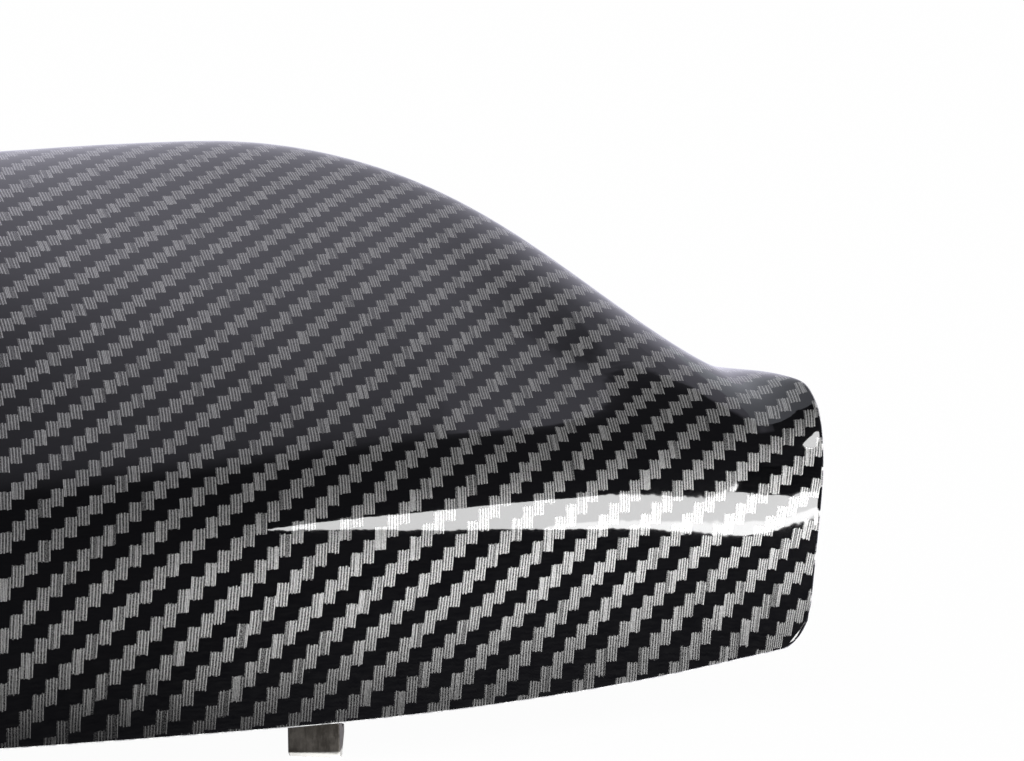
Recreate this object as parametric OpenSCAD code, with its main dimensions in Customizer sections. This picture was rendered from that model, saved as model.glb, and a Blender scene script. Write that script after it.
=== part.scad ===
// Cover of a wing mirror: one moulded shell, open underneath and at its
// inboard end, with snap tabs and stiffening ribs moulded in.
// +X is the inboard end, -Y the upright wall beside the mirror glass and +Z
// the crown. The feet of the tabs stand on Z = 0.

/* [Shell] */
// Overall length of the cover
cover_len = 236; // [210:1:260]
// Thickness of the moulded wall
wall = 2.5; // [2:0.1:3]
// Height of the rim's datum above the feet of the tabs
rim_z = 9.5; // [8:0.5:10]
// Height of the crown above the rim's datum
crown_h = 81; // [76:1:86]
// Length of the rounded outboard end
nose_len = 68; // [60:1:76]
// Squareness of the rounded outboard end
nose_pow = 2.3; // [2:0.1:2.6]
// Squareness of the hidden far side
far_pow = 2.4; // [2:0.1:3]
// How far the inboard edge leans out towards the crown
edge_lean = 3.6; // [0:0.2:5]
// Radius of the inboard edge's lower corners
corner_r = 7; // [4:0.5:9]
// Rounding of the inboard edge
edge_r = 0.8; // [0.4:0.1:1.2]

/* [Snap tabs] */
// Width of a tab
tab_w = 8.4; // [7:0.1:10]
// Thickness of a tab
tab_t = 2.4; // [2:0.1:3]
// Height of a tab, from its foot to its root
tab_h = 20; // [18:1:22]
// How far the barb stands out of the tab
barb = 1.6; // [1:0.1:2]
// Height of the barb
barb_h = 4; // [3:0.5:5]
// Turn of the near tabs about the vertical
near_turn = 32; // [0:1:40]

/* [Inside] */
// Thickness of a stiffening rib
rib_t = 1.8; // [1.5:0.1:2.2]
// Depth of a stiffening rib below the shell
rib_d = 5; // [4:0.5:8]

/* [Fineness] */
// Rows along the straight part of the shell
rows = 20; // [14:1:24]
// Rows round the outboard end
nose_rows = 9; // [6:1:11]

/* [Hidden] */
plastic = [0.16, 0.15, 0.14];
film = [0.14, 0.14, 0.15];
xe = cover_len / 2;            // inboard end
xn = nose_len - cover_len / 2; // where the outboard rounding starts
NEAR_TABS = [25, -50];         // along x
FAR_TABS = [28, -14, -56];
RIBS = [-48, -2, 42];
mid_y = 5;                     // the rounding shrinks towards this line
middle = [1.39, 1.18, 0];      // middle of the whole cover

// Near rim: x, y, height over the rim's datum
NEAR = [[-118, -64, 0], [-45, -69, -0.5], [-20, -72.5, -1], [5, -75.5, -1.5], [30, -76, -2.5],
        [55, -75.5, -3], [80, -75, -2.5], [105, -74, -1], [118, -73, -0.5]];
// Upright wall: x, lean, height of the crease, softness of the crease,
// slope above the crease
WALL = [[-118, 22, 23, 20, 38.5], [-45, 25, 23, 21.5, 38], [-20, 16.5, 26, 20, 34], [5, 8.5, 28.5, 18, 29.5],
        [30, 3.5, 31, 16.5, 27], [55, 1, 33, 15.5, 26.5], [80, 0.5, 33.5, 14.5, 27.5],
        [105, 1, 34.5, 13.5, 37.5], [118, 2, 36.5, 13, 45]];
// Crest: x, y, height
CREST = [[-118, 34, 78.5], [-45, 41.5, 79.5], [-20, 46, 79.5], [5, 49, 80], [30, 46.5, 81], [55, 37, 81],
         [75, 18.5, 76], [90, -3, 66], [102, -25, 51.5], [110, -43, 44.5], [118, -61.5, 44]];
// Far rim: x, y
FAR = [[-118, 74], [-45, 78], [5, 78], [30, 76], [55, 70], [75, 56], [90, 36], [105, 10], [118, -6]];

// Smooth curve through column k of a table
function seg(x, T, i = 0) = i >= len(T) - 2 || x < T[i + 1][0] ? i : seg(x, T, i + 1);
function slope(T, k, i) =
    let (a = max(i - 1, 0), b = min(i + 1, len(T) - 1)) (T[b][k] - T[a][k]) / (T[b][0] - T[a][0]);
function curve(x, T, k) =
    let (i = seg(x, T), h = T[i + 1][0] - T[i][0], t = (x - T[i][0]) / h,
         m0 = slope(T, k, i) * h, m1 = slope(T, k, i + 1) * h)
    (2*t*t*t - 3*t*t + 1) * T[i][k] + (t*t*t - 2*t*t + t) * m0
    + (3*t*t - 2*t*t*t) * T[i + 1][k] + (t*t*t - t*t) * m1;
function bez(a, b, c, t) = (1 - t)*(1 - t)*a + 2*t*(1 - t)*b + t*t*c;
function cross2(a, b) = a[0]*b[1] - a[1]*b[0];

// Outline of the shell at x, from the near rim over the crest to the far rim
n1 = 3; n2 = 7; n3 = 10; n4 = 12;
function lift(x) = let (d = x - xe + corner_r) d > 0 ? corner_r - sqrt(max(0, corner_r*corner_r - d*d)) : 0;
function section(x) =
    let (zl = lift(x), yn = curve(x, NEAR, 1), zn = curve(x, NEAR, 2) + zl, a = curve(x, WALL, 1),
         ch = curve(x, WALL, 2), r = curve(x, WALL, 3), b = curve(x, WALL, 4),
         yc = curve(x, CREST, 1), hc = curve(x, CREST, 2) * crown_h / 81, yf = curve(x, FAR, 1),
         te = acos(pow(zl / hc, far_pow / 2)),
         wd = [sin(a), cos(a)], R = [yn + zl * tan(a), zn], V = R + (ch - zn) * wd, C = [yc, hc],
         K = [min(yc, V[0] + (hc - V[1]) / tan(b)), hc], A = V - r * wd,
         t0 = min(0.85, r / (2 * norm(K - V))), B = bez(V, K, C, t0),
         db = (1 - t0) * (K - V) + t0 * (C - K), Q = A + cross2(B - A, db) / cross2(wd, db) * wd)
    concat([for (i = [0:n1 - 1]) R + (A - R) * i / n1],
           [for (i = [0:n2 - 1]) bez(A, Q, B, i / n2)],
           [for (i = [0:n3 - 1]) bez(V, K, C, t0 + (1 - t0) * i / n3)],
           [for (i = [0:n4]) let (t = te * i / n4)
               [yc + (yf - yc) * pow(sin(t), 2 / far_pow), hc * pow(max(0, cos(t)), 2 / far_pow)]]);

// The same outline in space, shrunk round the outboard end and leaning out
// at the inboard edge
function nose(x) = x < xn ? pow(max(0, 1 - pow((xn - x) / nose_len, nose_pow)), 1 / nose_pow) : 1;
function lean(x, z) = let (w = max(0, x - xe + 30) / 30) w * w * edge_lean * (min(1, (z - 8) / 32) - 2 / 3);
function ring(x) = let (k = nose(x)) [for (p = section(max(x, -xe)))
    [x + lean(x, p[1]), mid_y + (p[0] - mid_y) * k, rim_z + p[1] * k]];
XS = concat([for (i = [0:nose_rows - 1]) let (t = 84 - 84 * i / nose_rows) xn - nose_len * pow(sin(t), 2 / nose_pow)],
            [for (i = [0:rows - 1]) xn + (xe - corner_r - xn) * i / rows],
            [for (t = [0:22.5:67.5]) xe - corner_r + corner_r * sin(t)],
            [xe - edge_r, xe - 0.3 * edge_r, xe]);
nx = len(XS);
nt = n1 + n2 + n3 + n4 + 1;
P = [for (x = XS) ring(x)];
function unit(v) = v / norm(v);
function normal(i, j) = unit(cross(P[min(i + 1, nx - 1)][j] - P[max(i - 1, 0)][j],
                                   P[i][min(j + 1, nt - 1)] - P[i][max(j - 1, 0)]));
// Rims keep level normals, so that both skins end at the same height
function out(i, j) = let (n = normal(i, j)) j == 0 || j == nt - 1 ? unit([n[0], n[1], 0]) : n;
NRM = [for (i = [0:nx - 1]) [for (j = [0:nt - 1]) out(i, j)]];
function inset(x) = let (d = x - xe + edge_r) d > 0 ? edge_r - sqrt(max(0, edge_r*edge_r - d*d)) : 0;
OUT = [for (i = [0:nx - 1]) [for (j = [0:nt - 1]) P[i][j] - inset(XS[i]) * NRM[i][j]]];
INN = [for (i = [0:nx - 1]) [for (j = [0:nt - 1]) P[i][j] - wall * NRM[i][j]]];

module shell() {
    N = nx * nt;
    function o(i, j) = i * nt + j;
    function q(i, j) = N + i * nt + j;
    h = floor(nt / 2);
    polyhedron(
        points = concat([for (r = OUT) each r], [for (r = INN) each r]),
        faces = concat(
            [for (i = [0:nx - 2], j = [0:nt - 2]) each [[o(i, j), o(i, j + 1), o(i + 1, j + 1)], [o(i, j), o(i + 1, j + 1), o(i + 1, j)]]],
            [for (i = [0:nx - 2], j = [0:nt - 2]) each [[q(i, j), q(i + 1, j + 1), q(i, j + 1)], [q(i, j), q(i + 1, j), q(i + 1, j + 1)]]],
            [for (i = [0:nx - 2]) each [[o(i, 0), o(i + 1, 0), q(i + 1, 0)], [o(i, 0), q(i + 1, 0), q(i, 0)]]],
            [for (i = [0:nx - 2]) each [[o(i, nt - 1), q(i + 1, nt - 1), o(i + 1, nt - 1)], [o(i, nt - 1), q(i, nt - 1), q(i + 1, nt - 1)]]],
            [for (j = [0:nt - 2]) each [[o(nx - 1, j), o(nx - 1, j + 1), q(nx - 1, j + 1)], [o(nx - 1, j), q(nx - 1, j + 1), q(nx - 1, j)]]],
            [for (j = [0:h - 2]) each [[o(0, j), o(0, nt - 2 - j), o(0, j + 1)], [o(0, j), o(0, nt - 1 - j), o(0, nt - 2 - j)]]],
            [for (j = [0:h - 2]) each [[q(0, j), q(0, j + 1), q(0, nt - 2 - j)], [q(0, j), q(0, nt - 2 - j), q(0, nt - 1 - j)]]],
            nt % 2 == 1 ? [[o(0, h - 1), o(0, h + 1), o(0, h)], [q(0, h - 1), q(0, h), q(0, h + 1)]] : [],
            [[o(0, 0), q(0, 0), q(0, nt - 1)], [o(0, 0), q(0, nt - 1), o(0, nt - 1)]]));
}

// A tab with its barb at [x, y], turned about the vertical: its outer face
// looks along -Y before the turn
module snap_tab(x, y, turn) {
    translate([x, y, 0]) rotate([0, 0, turn]) rotate([90, 0, 90]) translate([0, 0, -tab_w / 2])
        linear_extrude(tab_w)
            polygon([[0.8, 0], [0, 0.9], [0, tab_h], [tab_t, tab_h], [tab_t, barb_h + 0.8],
                     [tab_t + barb, barb_h + 0.8], [tab_t + barb, barb_h - 0.6], [tab_t - 0.4, 0]]);
}

// The block that joins a tab's root to the wall, from y0 in the wall to y1
module tab_root(x, y0, y1) {
    translate([x - tab_w * 0.4, min(y0, y1), rim_z + 5]) cube([tab_w * 0.8, abs(y1 - y0), tab_h - rim_z - 5.5]);
}

// Outside of the near wall at x, at the top of a tab's root
function wall_y(x) = mid_y + (curve(x, NEAR, 1) + (tab_h - rim_z - 0.5) * tan(curve(x, WALL, 1)) - mid_y) * nose(x);

module near_tab(x) {
    y = wall_y(x) + wall + 2.5;
    snap_tab(x, y, -near_turn);
    tab_root(x, wall_y(x) + 0.7, y + 1.5);
}

module far_tab(x) {
    y = mid_y + (curve(x, FAR, 1) - mid_y) * nose(x) - wall - 0.4;
    snap_tab(x, y, 180);
    tab_root(x, y + 1.6, y - 1.5);
}

module end_tab() {
    snap_tab(wall + 0.5 - xe, mid_y, -90);
    translate([0.9 - xe, mid_y - tab_w * 0.4, rim_z + 5]) cube([wall + 1.2, tab_w * 0.8, tab_h - rim_z - 5.5]);
}

// A rib that follows the inside of the shell at x and dies out at both ends
module rib(x) {
    s = section(x);
    a = 2; b = nt - 4;
    function nrm(j) = let (d = s[j + 1] - s[j - 1]) [d[1], -d[0]] / norm(d);
    function deep(j) = wall + rib_d * min(1, 2.2 * sin(180 * (j - a) / (b - a))) - 0.3;
    translate([x - rib_t / 2, 0, rim_z]) rotate([90, 0, 90]) linear_extrude(rib_t)
        polygon(concat([for (j = [a:b]) s[j] + 1.3 * nrm(j)], [for (j = [b:-1:a]) s[j] + deep(j) * nrm(j)]));
}

module mirror_cover() {
    color(film) shell();
    color(plastic) {
        for (x = NEAR_TABS) near_tab(x);
        for (x = FAR_TABS) far_tab(x);
        end_tab();
        for (x = RIBS) rib(x);
    }
}

translate(-middle) mirror_cover();
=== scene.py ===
"""Looks of the wing mirror cover: a thin moulded shell with a glossy carbon-look
twill film outside, raw dark plastic inside, and its snap tabs and ribs."""
import math
import bpy
import bmesh
import numpy as np
from mathutils import Matrix, Vector

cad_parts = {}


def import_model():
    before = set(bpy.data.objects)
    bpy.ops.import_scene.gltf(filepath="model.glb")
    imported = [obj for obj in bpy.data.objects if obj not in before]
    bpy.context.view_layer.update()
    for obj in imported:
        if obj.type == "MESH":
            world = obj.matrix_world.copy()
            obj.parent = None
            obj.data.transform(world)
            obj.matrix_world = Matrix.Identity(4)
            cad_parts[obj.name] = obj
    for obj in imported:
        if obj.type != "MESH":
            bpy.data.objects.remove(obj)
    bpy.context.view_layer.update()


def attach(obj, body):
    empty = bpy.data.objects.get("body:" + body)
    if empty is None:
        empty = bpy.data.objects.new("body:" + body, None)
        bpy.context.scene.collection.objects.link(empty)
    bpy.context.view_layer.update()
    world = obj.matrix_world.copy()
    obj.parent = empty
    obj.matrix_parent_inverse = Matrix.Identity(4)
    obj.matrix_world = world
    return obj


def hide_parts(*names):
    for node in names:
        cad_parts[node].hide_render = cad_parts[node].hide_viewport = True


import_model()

# ---------------------------------------------------------------- sizes, mm
MID = np.array([1.39, 1.18, 0.0])      # the part's origin is the middle of its box
XE, NOSE_LEN = 118.0, 68.0
XN = NOSE_LEN - XE
NOSE_POW, FAR_POW = 2.3, 2.4
WALL_T, RIM_Z, LEAN, CORNER_R, MID_Y = 2.5, 9.5, 3.6, 7.0, 5.0
TAB_W, TAB_T, TAB_H, BARB, BARB_H, NEAR_TURN = 8.4, 2.4, 20.0, 1.6, 4.0, 32.0
RIB_T, RIB_D = 1.8, 5.0

NEAR = np.array([[-118, -64, 0], [-45, -69, -.5], [-20, -72.5, -1], [5, -75.5, -1.5], [30, -76, -2.5],
                 [55, -75.5, -3], [80, -75, -2.5], [105, -74, -1], [118, -73, -.5]], float)
WALL = np.array([[-118, 22, 23, 20, 38.5], [-45, 25, 23, 21.5, 38], [-20, 16.5, 26, 20, 34],
                 [5, 8.5, 28.5, 18, 29.5], [30, 3.5, 31, 16.5, 27], [55, 1, 33, 15.5, 26.5],
                 [80, .5, 33.5, 14.5, 27.5], [105, 1, 34.5, 13.5, 37.5], [118, 2, 36.5, 13, 45]], float)
CREST = np.array([[-118, 34, 78.5], [-45, 41.5, 79.5], [-20, 46, 79.5], [5, 49, 80], [30, 46.5, 81],
                  [55, 37, 81], [75, 18.5, 76], [90, -3, 66], [102, -25, 51.5], [110, -43, 44.5],
                  [118, -61.5, 44]], float)
FAR = np.array([[-118, 74], [-45, 78], [5, 78], [30, 76], [55, 70], [75, 56], [90, 36], [105, 10],
                [118, -6]], float)


# ------------------------------------------------------- the shell's surface
def curve(x, T, k):
    x = np.asarray(x, float)
    n = len(T)
    i = np.clip(np.searchsorted(T[:, 0], x, side="right") - 1, 0, n - 2)
    a, b = np.maximum(np.arange(n) - 1, 0), np.minimum(np.arange(n) + 1, n - 1)
    m = (T[b, k] - T[a, k]) / (T[b, 0] - T[a, 0])
    h = T[i + 1, 0] - T[i, 0]
    t = (x - T[i, 0]) / h
    return ((2*t**3 - 3*t**2 + 1) * T[i, k] + (t**3 - 2*t*t + t) * m[i] * h
            + (3*t*t - 2*t**3) * T[i + 1, k] + (t**3 - t*t) * m[i + 1] * h)


def bez(a, b, c, t):
    return (1 - t)**2 * a + 2*t*(1 - t)*b + t*t*c


def cross2(a, b):
    return a[..., 0]*b[..., 1] - a[..., 1]*b[..., 0]


def nose(x):
    q = np.clip((XN - np.asarray(x, float)) / NOSE_LEN, 0, 1)
    return np.maximum(0, 1 - q**NOSE_POW)**(1 / NOSE_POW)


def rings(xs, counts):
    """Points of the outer skin: one row for each x, from the near rim over the crest to the far rim."""
    x = np.maximum(np.asarray(xs, float), -XE)
    d = x - XE + CORNER_R
    zl = np.where(d > 0, CORNER_R - np.sqrt(np.maximum(0, CORNER_R**2 - d*d)), 0)
    yn, zn = curve(x, NEAR, 1), curve(x, NEAR, 2) + zl
    a, ch, r, b = np.radians(curve(x, WALL, 1)), curve(x, WALL, 2), curve(x, WALL, 3), np.radians(curve(x, WALL, 4))
    yc, hc, yf = curve(x, CREST, 1), curve(x, CREST, 2), curve(x, FAR, 1)
    wd = np.stack([np.sin(a), np.cos(a)], -1)
    R = np.stack([yn + zl * np.tan(a), zn], -1)
    V = R + (ch - zn)[:, None] * wd
    C = np.stack([yc, hc], -1)
    K = np.stack([np.minimum(yc, V[:, 0] + (hc - V[:, 1]) / np.tan(b)), hc], -1)
    A = V - r[:, None] * wd
    T0 = np.minimum(.85, r / (2 * np.linalg.norm(K - V, axis=-1)))[:, None]
    B = bez(V, K, C, T0)
    db = (1 - T0) * (K - V) + T0 * (C - K)
    Q = A + (cross2(B - A, db) / cross2(wd, db))[:, None] * wd
    n1, n2, n3, n4 = counts
    out = [R + (A - R) * t for t in np.arange(n1) / n1]
    out += [bez(A, Q, B, t) for t in np.arange(n2) / n2]
    out += [bez(V, K, C, T0 + (1 - T0) * t) for t in np.arange(n3) / n3]
    te = np.arccos((zl / hc)**(FAR_POW / 2))
    for t in np.arange(n4 + 1) / n4:
        out.append(np.stack([yc + (yf - yc) * np.sin(te * t)**(2 / FAR_POW),
                             hc * np.maximum(0, np.cos(te * t))**(2 / FAR_POW)], -1))
    S = np.stack(out, 1)
    k = nose(xs)[:, None]
    w = np.maximum(0, np.asarray(xs) - XE + 30) / 30
    lean = (w*w)[:, None] * LEAN * (np.minimum(1, (S[..., 1] - 8) / 32) - 2/3)
    return np.stack([np.asarray(xs)[:, None] + lean, MID_Y + (S[..., 0] - MID_Y) * k, RIM_Z + S[..., 1] * k], -1)


def unit(v):
    return v / np.maximum(np.linalg.norm(v, axis=-1, keepdims=True), 1e-12)


NOSE_T = np.radians(np.linspace(89.2, 0, 55)[:-1])
XS = np.concatenate([XN - NOSE_LEN * np.sin(NOSE_T)**(2 / NOSE_POW),
                     np.linspace(XN, XE - CORNER_R, 97)[:-1],
                     XE - CORNER_R + CORNER_R * np.sin(np.radians([0, 14, 28, 42, 52, 61, 90]))])
NX, NT = len(XS), 150
raw = rings(XS, (16, 50, 100, 80))
P = np.empty((NX, NT, 3))
for i in range(NX):                     # even steps along each outline
    run = np.concatenate([[0], np.cumsum(np.linalg.norm(np.diff(raw[i], axis=0), axis=1))])
    at = np.linspace(0, run[-1], NT)
    for k in range(3):
        P[i, :, k] = np.interp(at, run, raw[i, :, k])

# fair the skin, so that reflections run on without kinks
fade = np.clip((XE - CORNER_R - 2 - XS) / 16, 0, 1)[1:-1, None, None] * np.clip((np.arange(NX) - 1) / 6, 0, 1)[1:-1, None, None]
for n in range(18):
    P[1:-1] += .25 * fade * (P[2:] + P[:-2] - 2 * P[1:-1])
for n in range(4):
    P[:, 1:-1] += .25 * (P[:, 2:] + P[:, :-2] - 2 * P[:, 1:-1])


def grid_normals(P):
    du = np.empty_like(P); dv = np.empty_like(P)
    du[1:-1] = P[2:] - P[:-2]; du[0] = P[1] - P[0]; du[-1] = P[-1] - P[-2]
    dv[:, 1:-1] = P[:, 2:] - P[:, :-2]; dv[:, 0] = P[:, 1] - P[:, 0]; dv[:, -1] = P[:, -1] - P[:, -2]
    return unit(np.cross(du, dv))


N = grid_normals(P)
N[:, 0, 2] = 0; N[:, -1, 2] = 0
N = unit(N)
if (N[NX // 2, NT // 2, 2]) < 0:
    N = -N
INN = P - WALL_T * N

# ------------------------------------------------------ how the film lies
# Film coordinates in cells (2 mm each) of the twill, as polynomials of the place
# on the shell. Their coefficients are a least-squares fit to where the weave lies
# in the photo, so they hold the film's turn and its stretch over the shell, and
# whatever is left of the shape's and the camera's own errors.
FILM_U = [-.27, -7.88, -8.05, 14.04, -6.65, .97, 52.56, 3.06, -11.99, 7.1, -1.21, -.75, 5.7, -7.32, 1.93,
          -.32, 2.3, -.47, -.68, .82, -.72]
FILM_V = [-2.17, 48.55, 7.36, -12.66, 7.77, -1.48, .14, -6.62, 3.33, -.9, .27, -2.44, 3.31, 1.54, -1.05,
          4.57, 7.49, -3.28, 2.19, -1.36, -2.42]

# a second fit, of what the first one leaves on the near side
NEAR_U = [-.19, 2.43, -11.16, 15.91, -8.13, 1.35, .7, -3.21, 12.15, -22.88, 10.27, -3.25, 6.47, 6.94, -7.31,
          .83, -4.68, 8.95, 2.52, -8.36, -.29]
NEAR_V = [.05, -5.12, 30.89, -65.44, 57.25, -17.27, -1.26, 8.53, 3.22, -24.87, 12.09, 7.63, -39.87, 41.96,
          -11.23, -9.48, 25.71, -8.99, 3.29, -7.06, .9]


def film(x, s):
    xc = np.maximum(x, -60)
    a, b = xc / 100, s / 100
    terms = [a**i * b**j for i in range(6) for j in range(6 - i)]
    k = np.clip((185 - s) / 60, 0, 1)
    k = k*k*(3 - 2*k)
    u = sum((c + k*e) * t for c, e, t in zip(FILM_U, NEAR_U, terms)) + .5142 * (x - xc)
    v = sum((c + k*e) * t for c, e, t in zip(FILM_V, NEAR_V, terms)) + .0116 * (x - xc)
    return np.stack([u + .6, v + 1.05], -1)


def film_uv(P):
    s = np.concatenate([np.zeros((NX, 1)), np.cumsum(np.linalg.norm(np.diff(P, axis=1), axis=-1), 1)], 1)
    i0 = len(NOSE_T)                    # the first row of the straight part
    X = np.repeat(XS[:, None], NT, 1)
    step = np.linalg.norm(np.diff(P, axis=0), axis=-1)
    for i in range(i0 - 1, -1, -1):     # round the outboard end the film runs on along the skin
        X[i] = X[i + 1] - step[i]
    jc = int(np.argmax(P[i0, :, 2]))
    S = s.copy()
    for i in range(i0):
        S[i] = s[i0, jc] + s[i] - s[i, jc]
    return film(X, S)


def settle(P, N, uv, fixed, rounds=4200, cell=.5):
    """Let the film's free part lie down with the least stretch; the fixed part stays where it is."""
    z = uv[..., 0] + 1j*uv[..., 1]
    t1 = np.gradient(P, axis=1)
    t1 -= (t1*N).sum(-1, keepdims=True)*N
    t1 /= np.maximum(1e-9, np.linalg.norm(t1, axis=-1, keepdims=True))
    t2 = np.cross(N, t1)

    def flat(d, a, b):                  # an edge in the plane of its vertex, at its true length
        c = (d*a).sum(-1) + 1j*(d*b).sum(-1)
        return c * (cell*np.linalg.norm(d, axis=-1) / np.maximum(1e-6, np.abs(c)))

    di, dj = P[1:] - P[:-1], P[:, 1:] - P[:, :-1]
    ahead = [flat(di, t1[:-1], t2[:-1]), flat(dj, t1[:, :-1], t2[:, :-1])]
    back = [flat(-di, t1[1:], t2[1:]), flat(-dj, t1[:, 1:], t2[:, 1:])]
    ai, aj = (np.linalg.norm(np.gradient(P, axis=k), axis=-1) + 1e-6 for k in (0, 1))
    wi = np.clip((aj[1:] + aj[:-1])/2/np.maximum(np.linalg.norm(di, axis=-1), 1e-6), .15, 8)
    wj = np.clip((ai[:, 1:] + ai[:, :-1])/2/np.maximum(np.linalg.norm(dj, axis=-1), 1e-6), .15, 8)

    def gather(a, b, c, d):             # sums of what comes along the four edges of each vertex
        g = np.zeros(z.shape, complex)
        g[:-1] += wi*a
        g[1:] += wi*b
        g[:, :-1] += wj*c
        g[:, 1:] += wj*d
        return g

    W = gather(1, 1, 1, 1).real

    def turn(z, f):                     # how far each vertex's plane is turned on the film
        e, g = z[1:] - z[:-1], z[:, 1:] - z[:, :-1]
        r = gather(e*np.conj(f(ahead[0])), -e*np.conj(f(back[0])), g*np.conj(f(ahead[1])), -g*np.conj(f(back[1])))
        return r

    f = max((np.conj, np.positive), key=lambda f: np.abs(turn(z, f)[fixed]).sum())
    old = z.copy()
    for k in range(rounds):
        if k % 4 == 0:
            r = turn(z, f)
            r /= np.maximum(1e-12, np.abs(r))
            h = .5*(r[:-1]*f(ahead[0]) - r[1:]*f(back[0]))
            q = .5*(r[:, :-1]*f(ahead[1]) - r[:, 1:]*f(back[1]))
            pull = gather(-h, h, -q, q)
        want = (pull + gather(z[1:], z[:-1], z[:, 1:], z[:, :-1])) / W
        new = z + .9*(want - z) + (.97*(z - old) if k > 5 else 0)
        new[0] = new[0].mean()
        new[fixed] = z[fixed]
        old, z = z, new
    return np.stack([z.real, z.imag], -1)


# the film's place is known where the photograph shows it; over the far side and the outboard end it is let down
seen = np.array([-97.0, -418.0, 122.9]) - P
seen = (N*seen).sum(-1) > .02*np.linalg.norm(seen, axis=-1)
seen = np.cumsum(seen[:, ::-1], axis=1)[:, ::-1] > 0
seen[:len(NOSE_T)] = False
seen[XS > 113] = False
UV = settle(P, N, film_uv(P), seen)


# ----------------------------------------------------------- mesh helpers
def make(name, verts, faces, mats, slots=None, uv=None):
    me = bpy.data.meshes.new(name)
    me.from_pydata((np.asarray(verts) - MID).tolist() if len(verts) else [], [], faces)
    me.validate()
    for m in mats:
        me.materials.append(m)
    if slots is not None:
        me.polygons.foreach_set("material_index", slots)
    me.polygons.foreach_set("use_smooth", [True] * len(me.polygons))
    if uv is not None:
        lay = me.uv_layers.new(name="film")
        idx = np.empty(len(me.loops), np.int32)
        me.loops.foreach_get("vertex_index", idx)
        lay.data.foreach_set("uv", np.asarray(uv, float)[idx].ravel())
    o = bpy.data.objects.new(name, me)
    bpy.context.scene.collection.objects.link(o)
    for v in me.vertices:
        v.co = v.co * .001
    me.update()
    return o


# ---------------------------------------------------------------- materials
class Nodes:
    """Short names for building a node tree."""

    def __init__(self, name):
        self.mat = bpy.data.materials.new(name)
        self.mat.use_nodes = True
        self.t = self.mat.node_tree
        self.t.nodes.clear()
        self.out = self.t.nodes.new("ShaderNodeOutputMaterial")

    def new(self, kind, **props):
        n = self.t.nodes.new(kind)
        for k, v in props.items():
            setattr(n, k, v)
        return n

    def put(self, sock, v):
        if isinstance(v, bpy.types.NodeSocket):
            self.t.links.new(v, sock)
        else:
            sock.default_value = v

    def m(self, op, a, b=0.0, c=0.0, clamp=False):
        n = self.new("ShaderNodeMath", operation=op, use_clamp=clamp)
        for s, v in zip(n.inputs, (a, b, c)):
            self.put(s, v)
        return n.outputs[0]

    def xyz(self, x, y, z=0.0):
        n = self.new("ShaderNodeCombineXYZ")
        for s, v in zip(n.inputs, (x, y, z)):
            self.put(s, v)
        return n.outputs[0]

    def noise(self, vec, scale, detail=2.0, rough=.5, dims="3D"):
        n = self.new("ShaderNodeTexNoise", noise_dimensions=dims)
        self.put(n.inputs["Vector"], vec)
        n.inputs["Scale"].default_value = scale
        n.inputs["Detail"].default_value = detail
        n.inputs["Roughness"].default_value = rough
        return n.outputs["Fac"]

    def white(self, vec):
        n = self.new("ShaderNodeTexWhiteNoise", noise_dimensions="3D")
        self.put(n.inputs["Vector"], vec)
        return n.outputs["Value"]

    def ramp(self, v, a, b, c=0.0, d=1.0, smooth=True):
        n = self.new("ShaderNodeMapRange", interpolation_type="SMOOTHSTEP" if smooth else "LINEAR")
        self.put(n.inputs["Value"], v)
        for s, x in zip(("From Min", "From Max", "To Min", "To Max"), (a, b, c, d)):
            self.put(n.inputs[s], x)
        return n.outputs["Result"]

    def mix(self, f, a, b):
        n = self.new("ShaderNodeMix", data_type="RGBA")
        self.put(n.inputs[0], f)
        self.put(n.inputs[6], a)
        self.put(n.inputs[7], b)
        return n.outputs[2]

    def bump(self, h, strength, dist):
        n = self.new("ShaderNodeBump")
        n.inputs["Strength"].default_value = strength
        n.inputs["Distance"].default_value = dist
        self.put(n.inputs["Height"], h)
        return n.outputs[0]

    def shader(self, **inputs):
        n = self.new("ShaderNodeBsdfPrincipled")
        for k, v in inputs.items():
            self.put(n.inputs[k.replace("_", " ")], v)
        self.t.links.new(n.outputs[0], self.out.inputs[0])
        return n


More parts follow.
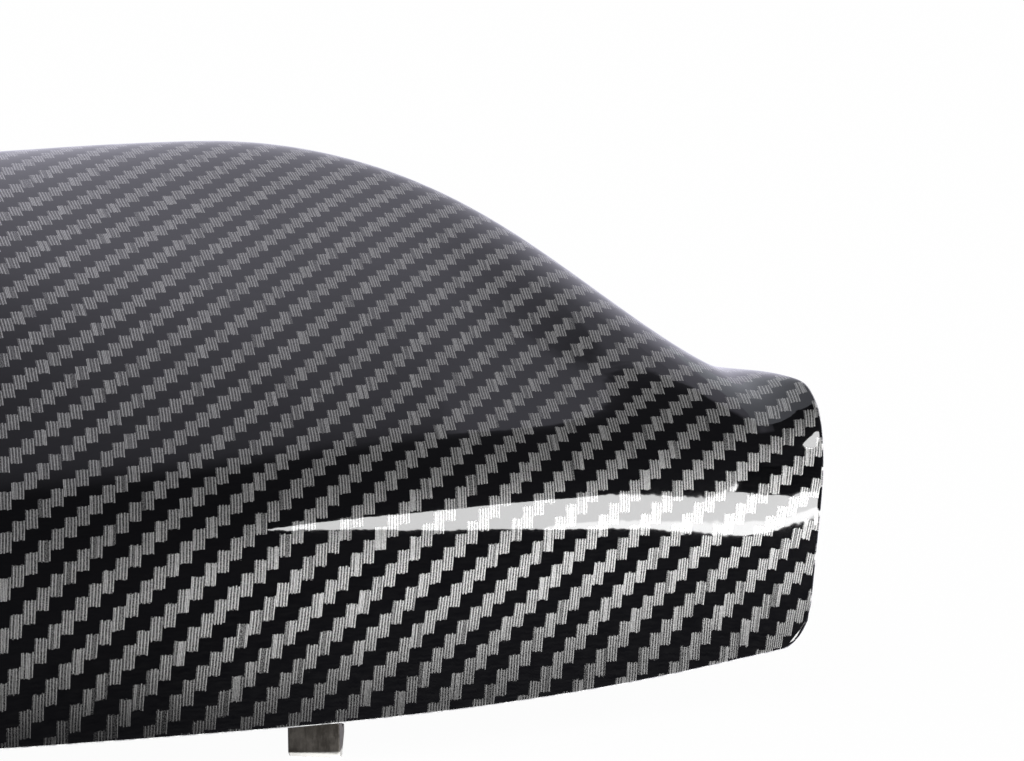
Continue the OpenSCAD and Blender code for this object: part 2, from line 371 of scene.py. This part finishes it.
def film_material():
    g = Nodes("twill_film")
    uv = g.new("ShaderNodeUVMap", uv_map="film")
    sep = g.new("ShaderNodeSeparateXYZ")
    g.put(sep.inputs[0], uv.outputs[0])
    u0, v0 = sep.outputs[0], sep.outputs[1]
    at = g.new("ShaderNodeSeparateXYZ")
    g.put(at.inputs[0], g.new("ShaderNodeTexCoord").outputs["Object"])
    # the tows wander a little
    wob = g.noise(g.xyz(g.m("MULTIPLY", u0, .35), g.m("MULTIPLY", v0, .35)), 1.0, 1.0)
    u = g.m("ADD", u0, g.m("MULTIPLY", g.m("SUBTRACT", wob, .5), .12))
    q, fq = g.m("FLOOR", g.m("MULTIPLY", u, 8.0)), g.m("FRACT", g.m("MULTIPLY", u, 8.0))
    ends = g.white(g.xyz(q, g.m("FLOOR", g.m("MULTIPLY", v0, .5)), 3.0))
    v = g.m("ADD", v0, g.m("MULTIPLY", g.m("SUBTRACT", ends, .5), .13))
    i, fu = g.m("FLOOR", u), g.m("FRACT", u)
    along = g.m("SUBTRACT", v, i)
    w = g.m("FLOORED_MODULO", along, 4.0)
    # light tow on top for nearly two cells, then dark for two
    up = g.m("MULTIPLY", g.ramp(w, .03, .10), g.ramp(w, 1.95, 1.88))
    # eight fine strands to a tow: every other one is bright, the rest are mostly grain
    pick = g.white(g.xyz(q, g.m("FLOOR", g.m("MULTIPLY", along, .25)), 9.0))
    pick = g.m("ADD", pick, g.m("MULTIPLY", g.m("FLOORED_MODULO", q, 2.0), .85))
    tent = g.m("SUBTRACT", 1.0, g.m("ABSOLUTE", g.m("SUBTRACT", g.m("MULTIPLY", fq, 2.0), 1.0)))
    line = g.m("MULTIPLY", g.ramp(pick, .82, 1.0, .0, 1.0), g.ramp(tent, .12, .60))
    # grain runs along each strand
    grain = g.noise(g.xyz(g.m("MULTIPLY", u, 9.0), g.m("MULTIPLY", v0, 12.0), 31.0), 1.0, 1.0, .6)
    line = g.m("MULTIPLY", line, g.ramp(grain, .38, .58, .66, 1.06))
    rungs = g.noise(g.xyz(g.m("MULTIPLY", u, 11.0), g.m("MULTIPLY", v0, 15.0), 7.0), 1.0, 1.0, .6)
    rungs = g.ramp(rungs, .46, .60, .02, .50)
    fade = g.noise(g.xyz(g.m("MULTIPLY", u, 3.0), g.m("MULTIPLY", v0, 2.2), 23.0), 1.0, 2.0, .6)
    edge = g.m("MULTIPLY", g.ramp(fu, .0, .05), g.ramp(fu, 1.0, .95))
    tow = g.m("MULTIPLY", g.m("MAXIMUM", line, rungs), g.ramp(fade, .3, .7, .82, 1.04))
    tow = g.m("MULTIPLY", tow, g.ramp(edge, 0, 1, .2, 1))
    # dark tow: hardly lighter threads across, with a little dust
    cross = g.noise(g.xyz(g.m("MULTIPLY", u, .6), g.m("MULTIPLY", v, 7.0), 11.0), 1.0, 2.0, .6)
    dark = g.ramp(cross, .3, .75, .0022, .0056)
    dust = g.ramp(g.noise(g.xyz(g.m("MULTIPLY", u0, 3.1), g.m("MULTIPLY", v0, 3.3), 19.0), 1.0, 2.0), .78, .84, 0.0, .02)
    dark = g.m("ADD", dark, dust)
    # painted shade: the film is darkened towards the rim, more at the outboard end
    painted_shade_base, painted_shade = g.ramp(at.outputs[0], -.02, .115, .07, .32), g.ramp(at.outputs[2], .006, .034)
    painted_shade = g.m("ADD", painted_shade_base, g.m("MULTIPLY", painted_shade, g.m("SUBTRACT", 1.0, painted_shade_base)))
    light = g.m("MULTIPLY", g.m("MULTIPLY_ADD", tow, .80, .012), painted_shade)
    val = g.m("ADD", g.m("MULTIPLY", up, light), g.m("MULTIPLY", g.m("SUBTRACT", 1.0, up), dark))
    col = g.new("ShaderNodeCombineColor")
    g.put(col.inputs[0], val)
    g.put(col.inputs[1], g.m("MULTIPLY", val, .995))
    g.put(col.inputs[2], g.m("MULTIPLY_ADD", val, .985, .0006))
    relief = g.m("MULTIPLY", up, g.m("MULTIPLY_ADD", tow, .35, .6))
    orange = g.noise(g.xyz(g.m("MULTIPLY", u0, .45), g.m("MULTIPLY", v0, .45), 2.0), 1.0, 2.0)
    rough = g.ramp(g.noise(g.xyz(g.m("MULTIPLY", u0, .8), g.m("MULTIPLY", v0, .8), 5.0), 1.0, 3.0), .3, .8, .40, .50)
    sh = g.shader(Base_Color=col.outputs[0], Roughness=rough, Metallic=g.m("MULTIPLY", up, g.ramp(at.outputs[0], -.05, .075, .28, .04)))
    sh.inputs["Specular IOR Level"].default_value = 0.0
    g.put(sh.inputs["Normal"], g.bump(relief, .25, .00008))
    sh.inputs["Coat Weight"].default_value = 1.0
    sh.inputs["Coat Roughness"].default_value = .03
    sh.inputs["Coat IOR"].default_value = 1.5
    g.put(sh.inputs["Coat Normal"], g.bump(orange, .06, .0002))
    return g.mat


def plastic_material(name, dark, pale, foot=False):
    g = Nodes(name)
    tc = g.new("ShaderNodeTexCoord").outputs["Object"]
    fine = g.noise(tc, 2600.0, 3.0, .65)
    cloud = g.noise(tc, 90.0, 4.0, .6)
    mp = g.new("ShaderNodeMapping")
    g.put(mp.inputs[0], tc)
    mp.inputs["Rotation"].default_value = (0.0, .6, 0.0)
    mp.inputs["Scale"].default_value = (1.0, 1.0, .22)
    scr = g.noise(mp.outputs[0], 1900.0, 2.0, .7)
    blot = g.noise(tc, 420.0, 3.0, .6)
    f = g.m("ADD", g.m("MULTIPLY", g.m("ADD", cloud, blot), .38), g.m("MULTIPLY", scr, .24))
    f = g.ramp(f, .40, .62)
    col = g.mix(f, (*dark, 1), (*pale, 1))
    if foot:
        s = g.new("ShaderNodeSeparateXYZ")
        g.put(s.inputs[0], tc)
        # painted highlight: the foot is painted pale where light off the floor falls on it, a little higher at its
        # inboard side
        level = g.m("ADD", s.outputs[2], g.m("MULTIPLY", g.m("SUBTRACT", s.outputs[0], .0236), -.07))
        painted_foot_light = g.m("MULTIPLY", g.ramp(level, .0012, .0008), g.ramp(cloud, .25, .6, .75, 1.0))
        col = g.mix(painted_foot_light, col, (.60, .59, .56, 1))
        # painted shade: the end faces, turned along x, are painted darker than the broad faces
        nx = g.new("ShaderNodeSeparateXYZ")
        g.put(nx.inputs[0], g.new("ShaderNodeNewGeometry").outputs["True Normal"])
        col = g.mix(g.ramp(g.m("ABSOLUTE", nx.outputs[0]), .4, .8, 0.0, .6), col, (*(c*.5 for c in dark), 1))
    sh = g.shader(Base_Color=col, Roughness=g.ramp(cloud, .3, .7, .42, .62), Metallic=0.0)
    g.put(sh.inputs["Normal"], g.bump(g.m("ADD", g.m("MULTIPLY", fine, .7), g.m("MULTIPLY", scr, .3)), .35, .00012))
    return g.mat


def edge_material():
    g = Nodes("film_edge")
    tc = g.new("ShaderNodeTexCoord").outputs["Object"]
    n = g.noise(tc, 700.0, 3.0, .6)
    # the cut edge is pale grey: partly the edge's own tone, partly a painted highlight for the thin light line along
    # the rim
    col = g.mix(g.ramp(n, .35, .65), (.22, .22, .22, 1), (.52, .52, .51, 1))
    sh = g.shader(Base_Color=col, Roughness=g.ramp(n, .3, .7, .2, .4))
    sh.inputs["Coat Weight"].default_value = .8
    sh.inputs["Coat Roughness"].default_value = .08
    return g.mat


FILM = film_material()
EDGE = edge_material()
INSIDE = plastic_material("inside_plastic", (.018, .0165, .015), (.034, .031, .028))
TAB = plastic_material("tab_plastic", (.034, .029, .023), (.098, .088, .076), foot=True)


# ---------------------------------------------------------------- the shell
def build_shell():
    n = NX * NT
    o = lambda i, j: i * NT + j
    q = lambda i, j: n + i * NT + j
    O, I = P.copy(), INN.copy()
    loop = ([(i, 0) for i in range(NX)] + [(NX - 1, j) for j in range(1, NT)]
            + [(i, NT - 1) for i in range(NX - 2, -1, -1)])
    L = len(loop)
    A = np.array([P[a] for a in loop]); B = np.array([INN[a] for a in loop]); NN = np.array([N[a] for a in loop])
    T = np.roll(A, -1, 0) - np.roll(A, 1, 0)
    E = unit(np.cross(T, NN))
    inner = []
    for (i, j) in loop:
        inner.append(P[min(max(i, 1), NX - 2), min(max(j, 1), NT - 2)])
    flip = np.sign(((A - np.array(inner)) * E).sum(1))
    E *= flip[:, None]
    r = .6
    W = unit(B - A)
    prof = [A - E*r + W*r + r*(-W*math.cos(f) + E*math.sin(f)) for f in np.radians([30, 62, 90])]
    prof += [B - E*r - W*r + r*(W*math.cos(f) + E*math.sin(f)) for f in np.radians([90, 58, 28])]
    for k, (i, j) in enumerate(loop):
        O[i, j] = A[k] - E[k]*r
        I[i, j] = B[k] - E[k]*r
    verts = np.concatenate([O.reshape(-1, 3), I.reshape(-1, 3)] + prof)
    uv0 = UV.reshape(-1, 2)
    lu = np.array([UV[a] for a in loop])
    uv = np.concatenate([uv0, uv0] + [lu] * 6)
    faces, slots = [], []
    for i in range(NX - 1):
        for j in range(NT - 1):
            faces.append((o(i, j), o(i + 1, j), o(i + 1, j + 1), o(i, j + 1))); slots.append(0)
            faces.append((q(i, j), q(i, j + 1), q(i + 1, j + 1), q(i + 1, j))); slots.append(1)
    h = NT // 2
    for f, flipped in ((o, True), (q, False)):
        for j in range(h - 1):
            c = (f(0, j), f(0, j + 1), f(0, NT - 2 - j), f(0, NT - 1 - j))
            faces.append(c if flipped else c[::-1]); slots.append(0 if flipped else 1)
    base = 2 * n
    col = [[o(*a) for a in loop]] + [[base + p * L + k for k in range(L)] for p in range(6)] + [[q(*a) for a in loop]]
    look = [0, 2, 2, 1, 1, 1, 1]
    for p in range(7):
        for k in range(L):
            k2 = (k + 1) % L
            faces.append((col[p][k], col[p + 1][k], col[p + 1][k2], col[p][k2])); slots.append(look[p])
    return make("cover_shell", verts, faces, [FILM, INSIDE, EDGE], slots, uv)


shell = build_shell()


# ------------------------------------------------------------- tabs and ribs
def prism(points, width, bevel):
    """A bar with this outline in y and z, centred on x, its edges rounded."""
    bm = bmesh.new()
    a = [bm.verts.new((-width / 2, y, z)) for y, z in points]
    b = [bm.verts.new((width / 2, y, z)) for y, z in points]
    bm.faces.new(a)
    bm.faces.new(b[::-1])
    n = len(points)
    for k in range(n):
        bm.faces.new((a[k], b[k], b[(k + 1) % n], a[(k + 1) % n]))
    bmesh.ops.recalc_face_normals(bm, faces=bm.faces)
    bmesh.ops.bevel(bm, geom=list(bm.edges), offset=bevel, offset_type="OFFSET", segments=3, profile=.6,
                    affect="EDGES", clamp_overlap=True)
    return bm


def collect(bm, turn, at, verts, faces):
    c, s = math.cos(math.radians(turn)), math.sin(math.radians(turn))
    base = len(verts)
    bm.verts.index_update()
    for v in bm.verts:
        x, y, z = v.co
        verts.append((c*x - s*y + at[0], s*x + c*y + at[1], z + at[2]))
    for f in bm.faces:
        faces.append(tuple(base + v.index for v in f.verts))
    bm.free()


def near_wall_y(x):
    lean = math.tan(math.radians(float(curve(x, WALL, 1))))
    return MID_Y + (float(curve(x, NEAR, 1)) + (TAB_H - RIM_Z - .5) * lean - MID_Y) * float(nose(x))


TAB_OUTLINE = [(.8, 0), (0, .9), (0, TAB_H), (TAB_T, TAB_H), (TAB_T, BARB_H + .8), (TAB_T + BARB, BARB_H + .8),
               (TAB_T + BARB, BARB_H - .6), (TAB_T - .4, 0)]


def build_tabs():
    verts, faces = [], []

    def tab(x, y, turn):
        collect(prism(TAB_OUTLINE, TAB_W, .22), turn, (x, y, 0), verts, faces)

    def root(x0, x1, y0, y1):
        z0, z1 = RIM_Z + 5, TAB_H - .5
        collect(prism([(y0, z0), (y1, z0), (y1, z1), (y0, z1)], x1 - x0, .3), 0, ((x0 + x1) / 2, 0, 0), verts, faces)

    for x in (25, -50):
        w = near_wall_y(x)
        y = w + WALL_T + 2.5
        tab(x, y, -NEAR_TURN)
        root(x - TAB_W*.4, x + TAB_W*.4, w + 1.2, y + 1.5)
    for x in (28, -14, -56):
        y = MID_Y + (float(curve(x, FAR, 1)) - MID_Y) * float(nose(x)) - WALL_T - .4
        tab(x, y, 180)
        root(x - TAB_W*.4, x + TAB_W*.4, y - 1.5, y + 1.6)
    tab(WALL_T + .5 - XE, MID_Y, -90)
    root(1.2 - XE, WALL_T + 2.1 - XE, MID_Y - TAB_W*.4, MID_Y + TAB_W*.4)
    return make("snap_tabs", verts, faces, [TAB])


def build_ribs():
    verts, faces = [], []
    for x in (-48, -2, 42):
        i = int(np.argmin(abs(XS - x)))
        c, nn = P[i], N[i]
        js = list(range(6, NT - 8, 2))
        base = len(verts)
        for j in js:
            t = (j - js[0]) / (js[-1] - js[0])
            n2 = unit(np.array([0, nn[j][1], nn[j][2]]))
            deep = WALL_T - .3 + RIB_D * min(1, 2.2 * math.sin(math.pi * t))
            for dx, dd in ((-.5, 1.3), (-.5, deep - .45), (-.28, deep - .08), (.28, deep - .08), (.5, deep - .45), (.5, 1.3)):
                p = c[j] - n2 * (dd if dd == 1.3 else max(dd, 1.4))
                verts.append((x + dx * RIB_T, p[1], p[2]))
        m = len(js)
        for a in range(m - 1):
            for k in range(6):
                k2 = (k + 1) % 6
                faces.append((base + a*6 + k, base + a*6 + k2, base + (a + 1)*6 + k2, base + (a + 1)*6 + k))
        faces.append(tuple(base + k for k in range(5, -1, -1)))
        faces.append(tuple(base + (m - 1)*6 + k for k in range(6)))
    return make("stiffening_ribs", verts, faces, [INSIDE])


tabs, ribs = build_tabs(), build_ribs()
for o in (tabs, ribs):
    bm = bmesh.new()
    bm.from_mesh(o.data)
    bmesh.ops.recalc_face_normals(bm, faces=bm.faces)
    bm.to_mesh(o.data)
    bm.free()
for o in (shell, tabs, ribs):
    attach(o, "root")
    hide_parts("mirror_cover")


# -------------------------------------------------------------- the camera
def build_camera():
    yaw, down = math.radians(24.25), math.radians(9.55)
    right = Vector((math.cos(yaw), -math.sin(yaw), 0))
    fwd = Vector((math.cos(down)*math.sin(yaw), math.cos(down)*math.cos(yaw), -math.sin(down)))
    up = right.cross(fwd)
    cam = bpy.data.objects.new("camera", bpy.data.cameras.new("camera"))
    cam.data.lens, cam.data.sensor_width = 84.375, 36.0
    m = Matrix.Identity(4)
    for r in range(3):
        m[r][0], m[r][1], m[r][2] = right[r], up[r], -fwd[r]
    pos = (Vector((-97, -418, 122.9)) - Vector(MID.tolist())) * .001
    m.translation = pos
    cam.matrix_world = m
    cam.data.clip_start, cam.data.clip_end = .01, 100
    bpy.context.scene.collection.objects.link(cam)
    bpy.context.scene.camera = cam


build_camera()
bpy.context.scene.view_settings.view_transform = "Standard"


# ------------------------------------------------------ floor and the light
def stage_mesh(name, verts, faces):
    me = bpy.data.meshes.new(name)
    me.from_pydata(verts, [], faces)
    o = bpy.data.objects.new(name, me)
    bpy.context.scene.collection.objects.link(o)
    return o


def floor():
    o = stage_mesh("floor", [(-30, -30, 0), (30, -30, 0), (30, 30, 0), (-30, 30, 0)], [(0, 1, 2, 3)])
    g = Nodes("pale_floor")
    em = g.new("ShaderNodeEmission")
    em.inputs[0].default_value = (1, 1, 1, 1)
    em.inputs[1].default_value = .97
    df = g.new("ShaderNodeBsdfDiffuse")
    df.inputs[0].default_value = (.08, .08, .08, 1)
    add = g.new("ShaderNodeAddShader")
    g.t.links.new(em.outputs[0], add.inputs[0])
    g.t.links.new(df.outputs[0], add.inputs[1])
    clear = g.new("ShaderNodeBsdfTransparent")
    mix = g.new("ShaderNodeMixShader")
    g.t.links.new(g.new("ShaderNodeNewGeometry").outputs["Backfacing"], mix.inputs[0])
    g.t.links.new(add.outputs[0], mix.inputs[1])
    g.t.links.new(clear.outputs[0], mix.inputs[2])
    g.t.links.new(mix.outputs[0], g.out.inputs[0])
    o.data.materials.append(g.mat)
    o.visible_glossy = o.visible_diffuse = o.visible_shadow = False
    return o


def world():
    w = bpy.data.worlds.new("studio")
    bpy.context.scene.world = w
    w.use_nodes = True
    t = w.node_tree
    t.nodes.clear()
    g = Nodes.__new__(Nodes)
    g.t = t
    out = t.nodes.new("ShaderNodeOutputWorld")
    d = g.new("ShaderNodeTexCoord").outputs["Generated"]
    s = g.new("ShaderNodeSeparateXYZ")
    g.put(s.inputs[0], d)
    # a bright wall behind the object; its upper edge is seen in the gloss
    x, y = s.outputs[0], s.outputs[1]
    k = g.m("SUBTRACT", y, g.m("MULTIPLY", g.m("MINIMUM", x, .2), .65))
    back = g.m("ADD", g.ramp(k, .12, .46, 0.0, .77), g.ramp(k, .40, .75, 0.0, .04))
    back = g.m("ADD", back, g.ramp(s.outputs[2], .1, .6, .03, .085))
    back = g.m("MULTIPLY", back, g.ramp(x, .0, .3, .92, 1.18))
    corner = g.m("MULTIPLY", g.ramp(x, .27, .33, 0.0, .62), g.ramp(y, .305, .33))
    side = g.m("MULTIPLY", g.ramp(x, .44, .46, 0.0, .75), g.ramp(y, -.38, -.30))
    back = g.m("MAXIMUM", back, g.m("MAXIMUM", corner, side))
    lp = g.new("ShaderNodeLightPath")
    amb = g.ramp(s.outputs[2], -1.0, 1.0, .66, .26, smooth=False)
    col = g.new("ShaderNodeCombineColor")
    for k, f in enumerate((.97, .955, 1.12)):
        c = g.mix(lp.outputs["Is Glossy Ray"], g.xyz(amb, amb, amb), g.xyz(*[g.m("MULTIPLY", back, f)] * 3))
        c = g.mix(lp.outputs["Is Camera Ray"], c, (1.0, 1.0, 1.0, 1.0))
        g.put(col.inputs[k], c)
    bg = g.new("ShaderNodeBackground")
    g.put(bg.inputs[0], col.outputs[0])
    t.links.new(bg.outputs[0], out.inputs[0])


def board(name, one_edge, other_edge, strength, tint=(1.0, 1.0, 1.0)):
    """A board or softbox between two rows of points (mm), seen in the gloss only."""
    pts = [tuple(c / 1000 for c in p) for p in one_edge + other_edge]
    n = len(one_edge)
    o = stage_mesh(name, pts, [(k, k + 1, n + k + 1, n + k) for k in range(n - 1)])
    g = Nodes(name + "_light")
    em = g.new("ShaderNodeEmission")
    em.inputs[0].default_value = (*tint, 1.0)
    em.inputs[1].default_value = strength
    g.t.links.new(em.outputs[0], g.out.inputs[0])
    o.data.materials.append(g.mat)
    for v in ("camera", "diffuse", "transmission", "volume_scatter", "shadow"):
        setattr(o, "visible_" + v, False)
    return o


def card(name, near_edge, far_edge, strength, dist, centre=(.07, -.07, .045)):
    """A far softbox, its edges given by directions (degrees right of -Y, above the horizon)."""
    rows = []
    for edge in (near_edge, far_edge):
        rows.append([])
        for az, el in edge:
            a, e = math.radians(az), math.radians(el)
            d = (math.sin(a)*math.cos(e), -math.cos(a)*math.cos(e), math.sin(e))
            rows[-1].append(tuple(1000*(c + dist*k) for c, k in zip(centre, d)))
    return board(name, rows[0], rows[1], strength)


def area(name, az, el, dist, size, power):
    a, e = math.radians(az), math.radians(el)
    li = bpy.data.lights.new(name, "AREA")
    li.shape, li.size, li.size_y, li.energy = "RECTANGLE", size[0], size[1], power
    o = bpy.data.objects.new(name, li)
    at = Vector((dist*math.sin(a)*math.cos(e), -dist*math.cos(a)*math.cos(e), .04 + dist*math.sin(e)))
    o.location = at
    o.rotation_mode = "QUATERNION"
    o.rotation_quaternion = (at - Vector((0, 0, .04))).to_track_quat("Z", "Y")
    o.visible_glossy = False
    bpy.context.scene.collection.objects.link(o)
    return o


floor()
world()
LOW = [(3.7, 56.5), (7.1, 51.6), (9.5, 47.1), (15.2, 35.5), (19.8, 23.9), (23.9, 14.6), (27.1, 8.4), (29.7, 2.2),
       (31.7, -2.3), (34.3, -7.5), (35.2, -8.7), (36.1, -9.4), (38.5, -10.4), (41.3, -10.7), (44, -10.8), (47, -10.8)]
HIGH = [(3.7, 56.8), (7.8, 55.2), (10.7, 53.4), (17.5, 47.1), (22.9, 41), (28.4, 36.6), (31.3, 33.3), (31.7, 26.6),
        (32, 22.1), (32, 15.4), (32.2, 13.2), (32.6, 10.8), (34.4, 6.5), (37.1, 3.6), (40.3, .5), (46, -7)]
BAND = [(25, 16.5), (27.5, 13.5), (29.7, 7.7), (31.3, 4), (33.3, -.8), (33.9, -2.8), (34.8, -4.4), (37.2, -6.9),
        (40.1, -8), (43.2, -8.9), (47, -9.6)]
card("strip_box", LOW, HIGH, 15.5, 12.0)
card("strip_box_rim", LOW[5:], BAND, 22.0, 11.8)
# a small pale board over the inboard corner, and a black flag that trims the softbox's upper edge
board("tip_board", [(116.2, -69, 70), (118, -73, 70), (121, -74, 70), (126, -72, 70)],
      [(114.3, -30, 70), (119, -26, 70), (122, -26, 70), (130, -30, 70)], 1.2, (.90, .93, 1.04))
board("flag", [(128.5, -122, 52.3), (133, -122.6, 48.1), (138.7, -122.2, 43.6), (148.4, -118.9, 37.1), (154.7, -116.6, 31.4), (158.6, -114.5, 28.7)],
      [(126.2, -111.9, 75.5), (130.5, -114.5, 71.7), (135.9, -116.5, 67), (144.5, -117.3, 59.6), (149.5, -119, 51.6), (154.2, -118, 46.4)], 0.0)
area("low_fill", 42, -38, 1.1, (.7, .4), 26.5)
